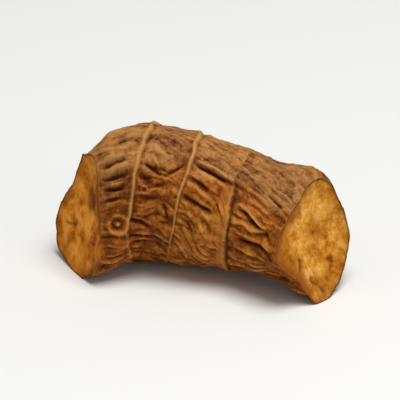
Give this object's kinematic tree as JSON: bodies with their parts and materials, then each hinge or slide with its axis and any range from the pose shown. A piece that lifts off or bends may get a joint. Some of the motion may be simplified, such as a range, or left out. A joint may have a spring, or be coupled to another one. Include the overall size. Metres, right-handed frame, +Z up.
{
  "type": "dried galangal root piece",
  "caption": "Short curved cut length of dried galangal rhizome: wrinkled brown skin, pale leaf-scar rings, a round root scar and two slanting golden cut ends; lies on its underside.",
  "frame": {"origin": "middle of the bounding box's bottom, on the surface that the root lies on", "axes": "+X along the root from its left cut to its right cut, +Y to its back, so both ends curve forward to -Y, +Z up"},
  "size_m": [0.0392, 0.0206, 0.0194],
  "materials": {
    "dried_rhizome": "matte"
  },
  "bodies": {
    "root": {"galangal_root": "dried_rhizome"}
  },
  "joints": []
}
